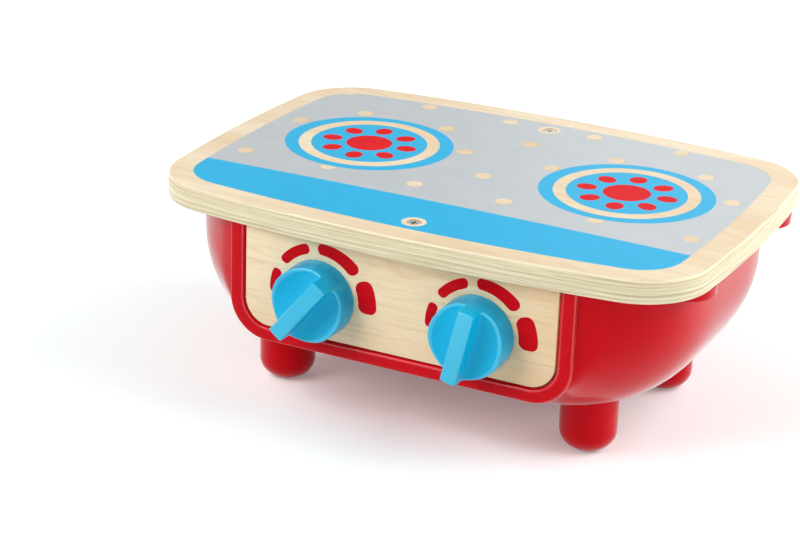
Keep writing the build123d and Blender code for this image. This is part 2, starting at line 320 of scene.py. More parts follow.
def dotMask(tree, grid, slide=0.0):
    # two overlaid grids of round dots, the second half a pitch across and half a pitch back
    axes = objectAxes(tree)
    firstX, firstY = grid["shiftX"] + slide, centreY + grid["firstRow"]
    distances = []
    for shiftX, shiftY in ((0.5, 0.0), (0.0, 0.5)):
        offsets = []
        for axis, pitch, start in (("X", grid["pitchX"], firstX + grid["pitchX"] * shiftX),
                                   ("Y", grid["pitchY"], firstY + grid["pitchY"] * shiftY)):
            place = calc(tree, "SUBTRACT", axes[axis], start)
            nearest = calc(tree, "SNAP", calc(tree, "ADD", place, pitch / 2), pitch)
            offsets.append(calc(tree, "SUBTRACT", place, nearest))
        squares = calc(tree, "MULTIPLY", offsets[1], offsets[1])
        squares = calc(tree, "MULTIPLY_ADD", offsets[0], offsets[0], squares)
        distances.append(calc(tree, "SQRT", squares))
    nearest = calc(tree, "MINIMUM", *distances)
    radius, soft = grid["radius"], grid["softness"]
    return stretch(tree, nearest, radius - soft, radius + soft, 1.0, 0.0)


def makeInk(name, colour, look=inkLook, tint=white, metal=0.0, dots=None):
    # screen-printed ink that lets a little of the grain through
    material, tree, shader = newMaterial(name)
    wood, height = birchColour(tree, woodLook)
    mottle = noise(tree, *look["mottleNoise"])
    shade = blendColour(tree, stretch(tree, mottle, *look["mottleRange"]),
                        *[shaded(colour, factor) for factor in look["mottleShades"]])
    tone = blendColour(tree, stretch(tree, height, *look["woodThrough"]), shade, wood)
    if dots:
        bare = dotMask(tree, dots)
        # painted shade: an offset copy of the dot mask lays a dark sliver at one side of each bare
        # dot
        tone = blendColour(tree, dotMask(tree, dots, dots["paintedShadeShift"]), tone, dots["edge"])
        tone = blendColour(tree, bare, tone, wood)
        plug(tree, shader.inputs["Metallic"], stretch(tree, bare, 0.0, 1.0, metal, 0.0))
    else:
        shader.inputs["Metallic"].default_value = metal
    plug(tree, shader.inputs["Base Color"], tone)
    plug(tree, shader.inputs["Roughness"],
         stretch(tree, mottle, *look["mottleRange"], *look["roughness"]))
    shader.inputs["IOR"].default_value = look["ior"]
    shader.inputs["Specular Tint"].default_value = tint
    bump(tree, shader, height, look["grainDepth"])
    return material


# plastics
plasticLook = dict(
    driftNoise=((9, 9, 9), 3.0, 0.5, 0.4),
    driftRange=(0.3, 0.7),
    scuffNoise=((70, 55, 90), 4.0, 0.65, 0.8),
    scuffRange=(0.35, 0.75),
    scuffRoughness=0.07,
    peelNoise=((420, 420, 420), 2.0, 0.5),
    tint=white,  # of the reflection face on; the outline stays white
    haze=0.0,  # pale haze of light along the outline
    hazeSpread=0.25,
)
redLook = dict(plasticLook, deep=linear(196, 5, 18), bright=linear(204, 7, 22),
               tint=(1.0, 0.09, 0.12, 1.0), roughness=0.09, ior=1.6, peel=0.000004, haze=0.85)
blueLook = dict(plasticLook, deep=linear(0, 172, 219), bright=linear(0, 182, 228),
                tint=(0.3, 0.9, 1.0, 1.0), roughness=0.2, ior=1.5, peel=0.000003)
# painted highlight: rounded edges get a lighter colour, standing in for the bright lines they
# catch, and an untinted reflection
redEdgeHighlightLook = dict(plasticLook, deep=linear(206, 24, 34), bright=linear(214, 36, 46),
                   roughness=0.12, ior=1.56, peel=0.000003)
blueEdgeHighlightLook = dict(plasticLook, deep=linear(30, 186, 228), bright=linear(60, 196, 235),
                    roughness=0.16, ior=1.5, peel=0.000003)
whiteLook = dict(plasticLook, deep=linear(226, 226, 220), bright=linear(236, 236, 232),
                 roughness=0.4, ior=1.45, peel=0.00001)


def makePlastic(name, look):
    # moulded plastic: faint drift of tone, slight flow marks and a very fine orange peel
    material, tree, shader = newMaterial(name)
    drift, scuffs, peel = [noise(tree, *look[kind + "Noise"])
                           for kind in ("drift", "scuff", "peel")]
    plug(tree, shader.inputs["Base Color"],
         blendColour(tree, stretch(tree, drift, *look["driftRange"]), look["deep"], look["bright"]))
    plug(tree, shader.inputs["Roughness"],
         stretch(tree, scuffs, *look["scuffRange"], look["roughness"],
                 look["roughness"] + look["scuffRoughness"]))
    shader.inputs["IOR"].default_value = look["ior"]
    shader.inputs["Specular Tint"].default_value = look["tint"]
    shader.inputs["Sheen Weight"].default_value = look["haze"]
    shader.inputs["Sheen Roughness"].default_value = look["hazeSpread"]
    bump(tree, shader, peel, look["peel"])
    return material


# metals
metalLook = dict(
    markNoise=((900, 900, 160), 3.0, 0.6),
    markRange=(0.3, 0.7),
    markRoughness=0.18,
    markDepth=0.00002,
    stainNoise=((120, 120, 120), 3.0, 0.5),
    stainRange=(0.4, 0.7),
    stainShade=0.72,
    darkScrew=(linear(192, 194, 188), 0.16),  # colour and roughness
    zincScrew=(linear(190, 192, 196), 0.28),
    groundSteel=(linear(176, 178, 182), 0.22),
    brassWasher=(linear(206, 170, 96), 0.3),
)


def makeMetal(name, look=metalLook):
    # plated or turned metal: fine tool marks and small stains
    colour, roughness = look[name]
    material, tree, shader = newMaterial(name)
    marks, stains = [noise(tree, *look[kind + "Noise"]) for kind in ("mark", "stain")]
    plug(tree, shader.inputs["Base Color"],
         blendColour(tree, stretch(tree, stains, *look["stainRange"]), colour,
                     shaded(colour, look["stainShade"])))
    plug(tree, shader.inputs["Roughness"],
         stretch(tree, marks, *look["markRange"], roughness, roughness + look["markRoughness"]))
    shader.inputs["Metallic"].default_value = 1.0
    bump(tree, shader, marks, look["markDepth"])
    return material


birch = makeBirch("birchFace", woodLook)
panelBirchPaintedLight = makeBirch("panelFacePaintedLight", panelWoodPaintedLightLook)
plyEdge = makePlyEdge("plyEdge", plyLook, undersideZ, topZ)
blueInk = makeInk("blueInk", inkLook["blue"])
burnerInk = makeInk("burnerInk", inkLook["burnerRed"], dict(inkLook, ior=inkLook["burnerIor"]),
                    tint=inkLook["redTint"])
arcInk = makeInk("arcInk", inkLook["arcRed"], tint=inkLook["redTint"])
silverInk = makeInk("silverInk", inkLook["silver"], metal=inkLook["silverMetal"], dots=dotGrid)
redPlastic = makePlastic("redPlastic", redLook)
bluePlastic = makePlastic("bluePlastic", blueLook)
# painted edge highlights, lighter copies of the red and blue plastics
redEdgeHighlight = makePlastic("redEdgeHighlight", redEdgeHighlightLook)
blueEdgeHighlight = makePlastic("blueEdgeHighlight", blueEdgeHighlightLook)
whitePlastic = makePlastic("whitePlastic", whiteLook)
darkScrew = makeMetal("darkScrew")
zincScrew = makeMetal("zincScrew")
groundSteel = makeMetal("groundSteel")
brass = makeMetal("brassWasher")
print("materials made")


# mesh helpers
def quarter(steps, first=0):
    # sine and cosine at even steps through a right angle
    return [(sin(pi / 2 * i / steps), cos(pi / 2 * i / steps)) for i in range(first, steps + 1)]


def ofKind(geometry, kind):
    return [g for g in geometry if isinstance(g, kind)]


def extrudeEdges(bm, edges):
    # returns the new vertices, the new edges between them and the new faces
    made = bmesh.ops.extrude_edge_only(bm, edges=edges)["geom"]
    verts = set(ofKind(made, bmesh.types.BMVert))
    ends = [e for e in ofKind(made, bmesh.types.BMEdge) if all(v in verts for v in e.verts)]
    return verts, ends, ofKind(made, bmesh.types.BMFace)


def skin(bm, rings, closed=True, highlightRings=()):
    # the first ring is drawn, each further one is extruded from the last and moved to its place;
    # faces that end at a ring in highlightRings get the second material, a painted edge highlight
    mark = bm.verts.layers.int.get("ring") or bm.verts.layers.int.new("ring")
    ringVerts = []
    for index, point in enumerate(rings[0]):
        vert = bm.verts.new(point)
        vert[mark] = index
        ringVerts.append(vert)
    nextVerts = ringVerts[1:] + (ringVerts[:1] if closed else [])
    edges = [bm.edges.new(pair) for pair in zip(ringVerts, nextVerts)]
    drawn = [edges]
    for number, ring in enumerate(rings[1:], 1):
        verts, edges, faces = extrudeEdges(bm, edges)
        for face in faces:
            face.material_index = int(number in highlightRings)
        for vert in verts:
            vert.co = ring[vert[mark]]
        drawn.append(edges)
    return drawn


def drawLoop(bm, points):
    verts = [bm.verts.new(p) for p in points]
    return [bm.edges.new(pair) for pair in zip(verts, verts[1:] + verts[:1])]


def fillFlat(bm, edges, slot=0):
    # fills the flat area between loops; a loop inside another is a hole
    made = bmesh.ops.triangle_fill(bm, use_beauty=True, use_dissolve=False, edges=edges)["geom"]
    for face in ofKind(made, bmesh.types.BMFace):
        face.material_index = slot
        face.smooth = False


def smoothFaces(bm):
    for face in bm.faces:
        face.smooth = True


def circlePoints(centre, radius, count, axis="Z"):
    points = []
    for step in range(count):
        a = 2 * pi * step / count
        x, other = radius * cos(a), radius * sin(a)
        points.append(Vector(centre) + Vector((x, other, 0) if axis == "Z" else (x, 0, other)))
    return points


def finishPiece(name, bm, body, nodes, materials, sharp):
    bmesh.ops.recalc_face_normals(bm, faces=bm.faces)
    piece = addMesh(name, bm)
    for material in materials:
        piece.data.materials.append(material)
    piece.data.set_sharp_from_angle(angle=radians(sharp))
    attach(piece, body)
    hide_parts(*nodes)
    print("piece", name, len(piece.data.polygons), "faces")


# hob board
hob = dict(
    cornerRadius=0.038,
    sideBow=0.0051,
    frontBow=0.0107,
    arris=0.0009,
    printMargin=0.0137,
    printShift=-0.0008,
    bandEdge=-0.0525,
    bandBow=0.0026,
    burnerX=0.0744,
    burnerY=0.0115,
    outerRing=(0.0459, 0.0438),  # the printed burner is slightly oval
    woodRing=(0.038, 0.0313),
    hubRadius=0.0124,
    petals=8,
    petalTurn=5,  # degrees
    petalReach=0.0214,
    petalLength=0.0108,
    petalWidth=0.0092,
    screwOffset=0.084,
    screwRing=0.0063,
    screwHole=0.00385,
    screwDepth=0.0029,
    sideSteps=26,
    cornerSteps=12,
    arrisSteps=4,
    bandSteps=24,
    ringSteps=128,
    hubSteps=64,
    screwSteps=48,
    petalSteps=32,
    sharp=50,  # edges turned by more degrees are sharp
)


def heading(angle):
    return Vector((cos(angle), sin(angle)))


def bowedOutline(inset, z, shiftX=0.0):
    # four bowed sides and rounded corners, all offset inwards by the same amount
    halfX = (boardHigh[0] - boardLow[0]) / 2
    halfY = (boardHigh[1] - boardLow[1]) / 2
    cornerX, cornerY = halfX - hob["sideBow"], halfY - hob["frontBow"]
    frontRadius = (cornerX ** 2 + hob["frontBow"] ** 2) / (2 * hob["frontBow"])
    sideRadius = (cornerY ** 2 + hob["sideBow"] ** 2) / (2 * hob["sideBow"])
    frontCentre = Vector((0, frontRadius - halfY))  # centre of the front side's arc
    sideCentre = Vector((halfX - sideRadius, 0))  # centre of the right side's arc
    a, b = frontRadius - hob["cornerRadius"], sideRadius - hob["cornerRadius"]
    gap = (sideCentre - frontCentre).length
    along = (a * a - b * b + gap * gap) / (2 * gap)
    direction = (sideCentre - frontCentre) / gap
    across = Vector((-direction.y, direction.x)) * sqrt(a * a - along * along)
    corner = max((frontCentre + direction * along + across * s for s in (-1, 1)),
                 key=lambda c: c.x - c.y)
    toFront = corner - frontCentre
    toSide = corner - sideCentre
    frontAngle = atan2(toFront.y, toFront.x)  # where the front arc ends
    sideAngle = atan2(toSide.y, toSide.x)
    half = hob["sideSteps"] // 2
    quarterLine = []
    for step in range(half + 1):  # from the middle of the front to the corner
        angle = -pi / 2 + (frontAngle + pi / 2) * step / half
        quarterLine.append(frontCentre + heading(angle) * (frontRadius - inset))
    for step in range(1, hob["cornerSteps"]):  # round the corner
        angle = frontAngle + (sideAngle - frontAngle) * step / hob["cornerSteps"]
        quarterLine.append(corner + heading(angle) * (hob["cornerRadius"] - inset))
    for step in range(half + 1):  # and up to the middle of the side
        angle = sideAngle * (1 - step / half)
        quarterLine.append(sideCentre + heading(angle) * (sideRadius - inset))
    right = quarterLine + [Vector((p.x, -p.y)) for p in reversed(quarterLine[:-1])]
    points = right + [Vector((-p.x, p.y)) for p in reversed(right[1:-1])]
    return [Vector((p.x + shiftX, p.y + centreY, z)) for p in points]


def bandLine(x):
    # the blue band's rear edge, a shallow bow
    share = x / (boardHigh[0] - hob["printMargin"])
    return centreY + hob["bandEdge"] - hob["bandBow"] * share ** 2


def splitLoop(points):
    # cuts a closed outline along the band's rear edge, and returns the parts in front and behind
    def beyond(p):
        return p.y - bandLine(p.x)
    front, back, cuts = [], [], []
    for p, q in zip(points, points[1:] + points[:1]):
        (front if beyond(p) < 0 else back).append(p)
        if beyond(p) * beyond(q) < 0:
            cut = p.lerp(q, beyond(p) / (beyond(p) - beyond(q)))
            if cuts:  # here the outline comes back to the front
                line = []
                for step in range(1, hob["bandSteps"]):
                    x = cuts[0].x + (cut.x - cuts[0].x) * step / hob["bandSteps"]
                    line.append(Vector((x, bandLine(x), cut.z)))
                start = front.index(cuts[0])
                front[start + 1:start + 1] = line + [cut]
                back += [cut] + list(reversed(line))
            else:
                front.append(cut)
                back.append(cut)
            cuts.append(cut)
    return front, back


def petalPoints(centre, turn):
    points = []
    middle = centre + heading(turn).to_3d() * hob["petalReach"]
    for step in range(hob["petalSteps"]):
        a = 2 * pi * step / hob["petalSteps"]
        along, across = hob["petalLength"] / 2 * cos(a), hob["petalWidth"] / 2 * sin(a)
        points.append(middle + Vector((along * cos(turn) - across * sin(turn),
                                       along * sin(turn) + across * cos(turn), 0)))
    return points


def makeHobBoard():
    bm = bmesh.new()
    wood, edge, blue, red, silver = range(5)  # material slots
    arris = hob["arris"]
    rings = [bowedOutline(arris * (1 - s), undersideZ + arris * (1 - c))
             for s, c in quarter(hob["arrisSteps"])]
    rings += [bowedOutline(arris * (1 - c), topZ - arris * (1 - s))
              for s, c in quarter(hob["arrisSteps"])]
    drawn = skin(bm, rings)
    smoothFaces(bm)
    for face in bm.faces:
        face.material_index = edge
    fillFlat(bm, drawn[0], wood)

    # printed areas, each bounded by its own loop of edges
    frontPart, backPart = splitLoop(bowedOutline(hob["printMargin"], topZ, hob["printShift"]))
    shared = {}

    def loopOf(points):
        # neighbouring areas share the vertices and edges between them
        verts = []
        for p in points:
            key = (round(p.x, 7), round(p.y, 7))
            if key not in shared:
                shared[key] = bm.verts.new(p)
            verts.append(shared[key])
        return [bm.edges.get(pair) or bm.edges.new(pair)
                for pair in zip(verts, verts[1:] + verts[:1])]

    bandEdges = loopOf(frontPart)
    fieldEdges = loopOf(backPart)
    fillFlat(bm, drawn[-1] + list(set(bandEdges) ^ set(fieldEdges)), wood)

    screwLoops = []
    for side in (-1, 1):
        centre = (0, centreY + side * hob["screwOffset"], topZ)
        ringLoop, holeLoop = [drawLoop(bm, circlePoints(centre, hob[key], hob["screwSteps"]))
                              for key in ("screwRing", "screwHole")]
        fillFlat(bm, ringLoop + holeLoop, wood)
        screwLoops.append(ringLoop)
        sunkVerts, floorLoop, walls = extrudeEdges(bm, holeLoop)
        bmesh.ops.translate(bm, verts=list(sunkVerts), vec=(0, 0, -hob["screwDepth"]))
        for face in walls:
            face.material_index = wood
        fillFlat(bm, floorLoop, wood)
    fillFlat(bm, bandEdges + screwLoops[0], blue)

    burnerLoops = []
    outerX, outerY = hob["outerRing"]
    steps = hob["ringSteps"]
    for side in (-1, 1):
        centre = Vector((side * hob["burnerX"], centreY + hob["burnerY"], topZ))
        outer = drawLoop(bm, [centre + Vector((outerX * cos(a), outerY * sin(a), 0))
                              for a in (2 * pi * step / steps for step in range(steps))])
        ring, inner = [drawLoop(bm, circlePoints(centre, radius, steps))
                       for radius in hob["woodRing"]]
        burnerLoops += outer
        fillFlat(bm, outer + ring, blue)
        fillFlat(bm, ring + inner, wood)
        petals = []
        for k in range(hob["petals"]):
            turn = radians(hob["petalTurn"]) + 2 * pi * k / hob["petals"]
            petal = drawLoop(bm, petalPoints(centre, turn))
            fillFlat(bm, petal, red)
            petals += petal
        hub = drawLoop(bm, circlePoints(centre, hob["hubRadius"], hob["hubSteps"]))
        fillFlat(bm, hub, red)
        fillFlat(bm, inner + hub + petals, blue)
    fillFlat(bm, fieldEdges + screwLoops[1] + burnerLoops, silver)
    finishPiece("hobBoard", bm, "stove", ["hob_top"],
                [birch, plyEdge, blueInk, burnerInk, silverInk], hob["sharp"])


makeHobBoard()


# red body
tub = dict(
    halfDepth=0.099,
    rimHalfWidth=0.0944,
    rimFloor=0.0395,
    rimCorner=0.0215,
    sideBulge=0.0441,
    sidePower=4.0,
    floorBulge=0.0178,
    floorPower=3.2,
    cornerGrowth=0.0335,
    cornerPower=12.0,
    flangeThickness=0.0027,
    flangeForward=0.0015,
    flangeRounding=0.0008,
    innerRounding=0.0016,
    groove=0.0004,
    grooveShare=6,  # the groove takes one part in this many of the shoulder
    shoulder=0.005,
    panelGap=0.0004,
    panelCorner=0.014,
    backRounding=0.005,
    wall=0.0028,
    lugX=0.133,
    lugY=0.057,
    lugRadius=0.0153,
    lugThickness=0.0056,
    lugRounding=0.0008,
    bossRadius=0.0148,
    bossHeight=0.024,
    bossOverlap=0.012,
    sideSteps=10,
    cornerSteps=16,
    floorSteps=24,
    stations=56,
    innerSteps=6,
    outerSteps=5,
    grooveSteps=4,
    backSteps=6,
    postSteps=96,
    bevelSteps=4,
    sharp=40,
)
flangeFront = centreY - tub["halfDepth"] - tub["flangeForward"]
flangeBack = flangeFront + tub["flangeThickness"]


def uShape(halfWidth, floorZ, corner, y):
    # open outline seen from the front: down the left wall, along the floor and up the right wall
    points = []
    for step in range(tub["sideSteps"]):
        drop = (floorZ + corner - undersideZ) * step / tub["sideSteps"]
        points.append((-halfWidth, undersideZ + drop))
    for step in range(tub["cornerSteps"]):
        a = pi + pi / 2 * step / tub["cornerSteps"]
        points.append((-halfWidth + corner + corner * cos(a), floorZ + corner + corner * sin(a)))
    for step in range(tub["floorSteps"] // 2):
        points.append(((-halfWidth + corner) * (1 - 2 * step / tub["floorSteps"]), floorZ))
    points = points + [(0, floorZ)] + [(-x, z) for x, z in reversed(points)]
    return [Vector((x, y, z)) for x, z in points]


def panelShape(grow, y):
    halfWidth = (panelHigh[0] - panelLow[0]) / 2
    return uShape(halfWidth + grow, panelLow[2] - grow, tub["panelCorner"] + grow, y)


def rimShape(inset, y):
    return uShape(tub["rimHalfWidth"] - inset, tub["rimFloor"] + inset, tub["rimCorner"] - inset, y)


def tubShape(y, inset=0.0):
    u = min(1.0, abs(y - centreY) / tub["halfDepth"])
    behind = (y - flangeFront - tub["flangeThickness"]) / tub["shoulder"]
    swell = 1 - (1 - min(1.0, behind)) ** 3  # the wall leaves the flange in a soft curve
    inset += tub["groove"] * max(0.0, 1 - tub["grooveShare"] * behind)
    halfWidth = tub["rimHalfWidth"] + swell * tub["sideBulge"] * (1 - u ** tub["sidePower"]) - inset
    floorZ = tub["rimFloor"] - swell * tub["floorBulge"] * (1 - u ** tub["floorPower"]) + inset
    corner = tub["rimCorner"] + swell * tub["cornerGrowth"] * (1 - u ** tub["cornerPower"]) - inset
    return uShape(halfWidth, floorZ, corner, y)


def roundPost(bm, centre, radius, lowZ, highZ, rounding=0.0):
    # upright round post with a softened lower edge
    before = set(bm.verts)
    place = Matrix.Translation((centre[0], centre[1], (lowZ + highZ) / 2))
    bmesh.ops.create_cone(bm, cap_ends=True, segments=tub["postSteps"], radius1=radius,
                          radius2=radius, depth=highZ - lowZ, matrix=place)
    if rounding:
        fresh = [v for v in bm.verts if v not in before]
        lower = {e for v in fresh for e in v.link_edges
                 if all(abs(w.co.z - lowZ) < tiny for w in e.verts)}
        bmesh.ops.bevel(bm, geom=list(lower), offset=rounding, segments=tub["bevelSteps"],
                        affect="EDGES", profile=0.5, material=-1)


def makeBody():
    bm = bmesh.new()
    gap, inner, outer = tub["panelGap"], tub["innerRounding"], tub["flangeRounding"]
    groove, backRounding = tub["groove"], tub["backRounding"]
    rings = [panelShape(gap, panelHigh[1]), panelShape(gap, flangeFront + inner)]
    for s, c in quarter(tub["innerSteps"], 1):  # rounded inner edge of the flange
        rings.append(panelShape(gap + inner * (1 - c), flangeFront + inner * (1 - s)))
    # the flange's rounded edges and its groove take the second material, the painted edge highlight
    highlightRings = {len(rings) - 2, len(rings) - 1}
    rings.append(rimShape(outer, flangeFront))
    highlightRings |= set(range(len(rings), len(rings) + tub["outerSteps"]))
    for s, c in quarter(tub["outerSteps"], 1):  # rounded outer edge
        rings.append(rimShape(outer * (1 - s), flangeFront + outer * (1 - c)))
    highlightRings |= set(range(len(rings) + 1, len(rings) + tub["grooveSteps"]))
    for s, c in quarter(tub["grooveSteps"])[:-1]:  # the rear edge runs into a fine groove
        rings.append(rimShape(groove * (1 - c), flangeBack - groove * (1 - s)))
    backStart = bodyBack - backRounding
    for step in range(tub["stations"] + 1):  # the bulging wall, closer near its ends
        t = 0.5 - 0.5 * cos(pi * step / tub["stations"])
        rings.append(tubShape(flangeBack + (backStart - flangeBack) * t))
    for s, c in quarter(tub["backSteps"], 1):  # rounded back edge
        rings.append(tubShape(backStart + backRounding * s, backRounding * (1 - c)))
    drawn = skin(bm, rings, closed=False, highlightRings=highlightRings)
    for edges in (drawn[0], drawn[-1]):  # floor of the panel's pocket, and the back
        ends = [v for e in edges for v in e.verts if abs(v.co.z - undersideZ) < tiny]
        bmesh.ops.contextual_create(bm, geom=edges + [bm.edges.new(ends[:2])])
    bmesh.ops.recalc_face_normals(bm, faces=bm.faces)
    bmesh.ops.solidify(bm, geom=bm.faces[:], thickness=tub["wall"])
    for x in (-tub["lugX"], tub["lugX"]):
        for y in (centreY - tub["lugY"], centreY + tub["lugY"]):
            roundPost(bm, (x, y), tub["lugRadius"], undersideZ - tub["lugThickness"], undersideZ,
                      tub["lugRounding"])
    for node in footNodes:
        roundPost(bm, middleOf(node), tub["bossRadius"], tub["bossHeight"],
                  tub["bossHeight"] + tub["bossOverlap"])
    smoothFaces(bm)
    # the second material paints a highlight on the rounded edges
    finishPiece("redBody", bm, "stove", ["body_shell"], [redPlastic, redEdgeHighlight],
                tub["sharp"])


makeBody()


# feet
feet = dict(radius=0.0148, height=0.024, bottomRounding=0.0105, turns=96, arcSteps=14, sharp=50)


def makeFoot(node):
    spot = middleOf(node)
    bm = bmesh.new()
    rounding = feet["bottomRounding"]
    flat = feet["radius"] - rounding
    profile = [(0.0, 0.0)]
    profile += [(flat + rounding * s, rounding * (1 - c)) for s, c in quarter(feet["arcSteps"])]
    profile += [(feet["radius"], feet["height"]), (0.0, feet["height"])]
    verts = [bm.verts.new((spot.x + r, spot.y, z)) for r, z in profile]
    edges = [bm.edges.new(pair) for pair in zip(verts, verts[1:])]
    bmesh.ops.spin(bm, geom=verts + edges, cent=(spot.x, spot.y, 0), axis=(0, 0, 1), angle=2 * pi,
                   steps=feet["turns"], use_merge=True)
    bmesh.ops.remove_doubles(bm, verts=bm.verts, dist=tiny)
    smoothFaces(bm)
    name = "".join(word.capitalize() if i else word for i, word in enumerate(node.split("_")))
    finishPiece(name, bm, "stove", [node], [redPlastic], feet["sharp"])


for node in footNodes:
    makeFoot(node)


# control panel
panel = dict(
    setBack=0.0006,  # its face lies a little behind the flange's
    clearance=0.0004,  # further gap all round, which shows as a dark line
    corner=0.014,
    arris=0.0005,
    holeRadius=0.006,
    arcRise=0.0003,  # how far the arcs' centre is above the knob's axis
    # an arc: clock angles of its inner and outer corners, outer and corner radii, inner radius
    arcs=(
        ((-96, -66), (-96, -66), (0.0279, 0.0279), (0.0023, 0.0023), 0.0226),
        ((-54, -13), (-54, -13), (0.0278, 0.0282), (0.0023, 0.0025), 0.0226),
        ((-2, 52), (-2, 52), (0.0284, 0.0302), (0.0026, 0.0033), 0.0226),
        ((58.5, 99), (63.5, 96), (0.0321, 0.0327), (0.0041, 0.0038), 0.0223),
    ),
    arcStep=0.0012,
    roundSteps=8,
    cornerSteps=10,
    arrisSteps=4,
    holeSteps=64,
    sharp=50,
)


def plateOutline(inset, y):
    # square upper corners, rounded lower ones
    inset += panel["clearance"]
    left, right = panelLow[0] + inset, panelHigh[0] - inset
    low, high = panelLow[2] + inset, panelHigh[2] - inset
    radius = panel["corner"] - inset
    points = [Vector((left, y, high))]
    for cx, start in ((left + radius, pi), (right - radius, 1.5 * pi)):
        for step in range(panel["cornerSteps"] + 1):
            a = start + pi / 2 * step / panel["cornerSteps"]
            points.append(Vector((cx + radius * cos(a), y, low + radius + radius * sin(a))))
    points.append(Vector((right, y, high)))
    return points


def roundedPolygon(corners, radii, steps, spacing):
    # rounds each corner with its own radius and divides the sides, points in the plane
    points = []
    for i, corner in enumerate(corners):
        before = (corners[i - 1] - corner).normalized()
        after = (corners[(i + 1) % len(corners)] - corner).normalized()
        half = acos(max(-1, min(1, before.dot(after)))) / 2
        centre = corner + (before + after).normalized() * radii[i] / sin(half)
        start = corner + before * radii[i] / tan(half) - centre
        sweep = start.angle_signed(corner + after * radii[i] / tan(half) - centre)
        for step in range(steps + 1):
            points.append(centre + Matrix.Rotation(-sweep * step / steps, 2) @ start)
    divided = []
    for p, q in zip(points, points[1:] + points[:1]):
        count = max(1, round((q - p).length / spacing))
        divided += [p.lerp(q, step / count) for step in range(count)]
    return divided


def arcOutline(centre, arc, y):
    # a bar drawn straight, then bent round the knob: x runs clockwise and y outwards
    innerEnds, outerEnds, outer, rounding, inner = arc
    bend = (inner + sum(outer) / 2) / 2
    corners = [Vector((radians(angle) * bend, radius)) for angle, radius in
               ((innerEnds[0], inner), (outerEnds[0], outer[0]),
                (outerEnds[1], outer[1]), (innerEnds[1], inner))]
    radii = (rounding[0], rounding[0], rounding[1], rounding[1])
    points = []
    for p in roundedPolygon(corners, radii, panel["roundSteps"], panel["arcStep"]):
        angle = p.x / bend
        points.append(Vector((centre.x + p.y * sin(angle), y,
                              centre.z + panel["arcRise"] + p.y * cos(angle))))
    return points


def makePanel():
    bm = bmesh.new()
    wood, ink = 0, 1  # material slots
    arris = panel["arris"]
    front, back = panelLow[1] + panel["setBack"], panelHigh[1]
    rings = [plateOutline(0.0, back), plateOutline(0.0, front + arris)]
    for s, c in quarter(panel["arrisSteps"], 1):
        rings.append(plateOutline(arris * (1 - c), front + arris * (1 - s)))
    drawn = skin(bm, rings)
    smoothFaces(bm)
    holes, backHoles, arcs = [], [], []
    for side in ("left", "right"):
        centre = middleOf(side + "_washer")
        hole = drawLoop(bm, circlePoints((centre.x, front, centre.z), panel["holeRadius"],
                                         panel["holeSteps"], "Y"))
        boredVerts, backHole = extrudeEdges(bm, hole)[:2]
        bmesh.ops.translate(bm, verts=list(boredVerts), vec=(0, back - front, 0))
        holes += hole
        backHoles += backHole
        for arc in panel["arcs"]:
            loop = drawLoop(bm, arcOutline(centre, arc, front))
            fillFlat(bm, loop, ink)
            arcs += loop
    fillFlat(bm, drawn[-1] + holes + arcs, wood)
    fillFlat(bm, drawn[0] + backHoles, wood)
    finishPiece("controlPanel", bm, "stove", ["front_panel"], [panelBirchPaintedLight, arcInk],
                panel["sharp"])


makePanel()


# knobs
knob = dict(
    radius=0.020,
    height=0.0228,
    gap=-0.0003,  # from the frame's panel to the skirt; the panel's face is set back
    draft=1.3,  # share of the radius lost per metre of height
    gripWidth=0.0085,
    rootHeight=0.0136,
    scoopHeight=0.0124,
    rimHeight=0.0142,
    rimRounding=0.0009,
    footRounding=0.0014,
    gripRounding=0.0009,
    turn=dict(left=39.0, right=12.5),
    arcSteps=56,
    scoopSteps=10,
    roundSteps=5,
    endSteps=12,
    mergeDistance=2e-6,
    sharp=50,
)


def circleThrough(a, b, c):
    # centre and radius of the circle through three points
    d = 2 * (a.x * (b.y - c.y) + b.x * (c.y - a.y) + c.x * (a.y - b.y))
    trios = ((a, b, c), (b, c, a), (c, a, b))
    centre = Vector((sum(p.length_squared * (q.y - r.y) for p, q, r in trios) / d,
                     sum(p.length_squared * (r.x - q.x) for p, q, r in trios) / d))
    return centre, (a - centre).length


def faceHeight(u):
    # height of the dished face at a distance u from the grip's centre line, with a soft foot
    wall, foot = knob["gripWidth"] / 2, knob["footRounding"]
    centre, radius = circleThrough(Vector((wall, knob["rootHeight"])),
                                   Vector((knob["radius"] / 2, knob["scoopHeight"])),
                                   Vector((knob["radius"], knob["rimHeight"])))
    height = centre.y - sqrt(radius ** 2 - (u - centre.x) ** 2)
    near = foot - (u - wall)
    if near > 0:
        height += foot - sqrt(max(0, foot ** 2 - near ** 2))
    return height


def rimSamples(radius):
    # points along a circle on one side of the grip, closer together where the grip's foot curves up
    wall, foot = knob["gripWidth"] / 2, knob["footRounding"]
    near = [wall + foot * (1 - c) for s, c in quarter(knob["roundSteps"])[:-1]]
    upper = [Vector((u, sqrt(radius ** 2 - u ** 2))) for u in near]
    start = asin((wall + foot) / radius)
    middle = []
    for i in range(knob["arcSteps"] + 1):
        angle = start + (pi - 2 * start) * i / knob["arcSteps"]
        middle.append(Vector((radius * sin(angle), radius * cos(angle))))
    return upper + middle + [Vector((p.x, -p.y)) for p in reversed(upper)]


